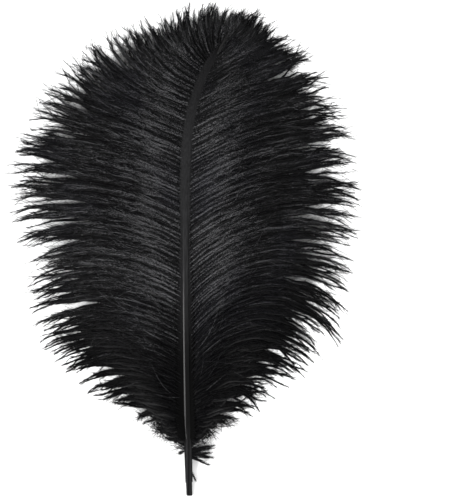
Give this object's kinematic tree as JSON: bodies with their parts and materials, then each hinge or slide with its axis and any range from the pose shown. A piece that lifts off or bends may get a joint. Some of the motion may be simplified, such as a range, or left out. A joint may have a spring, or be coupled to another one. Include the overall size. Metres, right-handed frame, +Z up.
{
  "type": "ostrich feather",
  "caption": "Broad black plume that lies on its curled edges: an arched shaft with a bare cut quill and a soft drooping vane of pointed locks down both sides and round the hooked tip.",
  "frame": {"origin": "middle of the feather's bounding box, on the surface that it lies on", "axes": "+Y along the shaft from the cut end of the quill to the tip, +X to the right seen from above with the quill towards the viewer, +Z up out of the surface, on the side of the shaft that shows"},
  "size_m": [0.1995, 0.2742, 0.0214],
  "materials": {
    "feather": "soft dyed black barbs with a faint sheen",
    "quill": "smooth dyed black horn with a satin sheen"
  },
  "bodies": {
    "root": {"feather": "feather"}
  },
  "joints": []
}
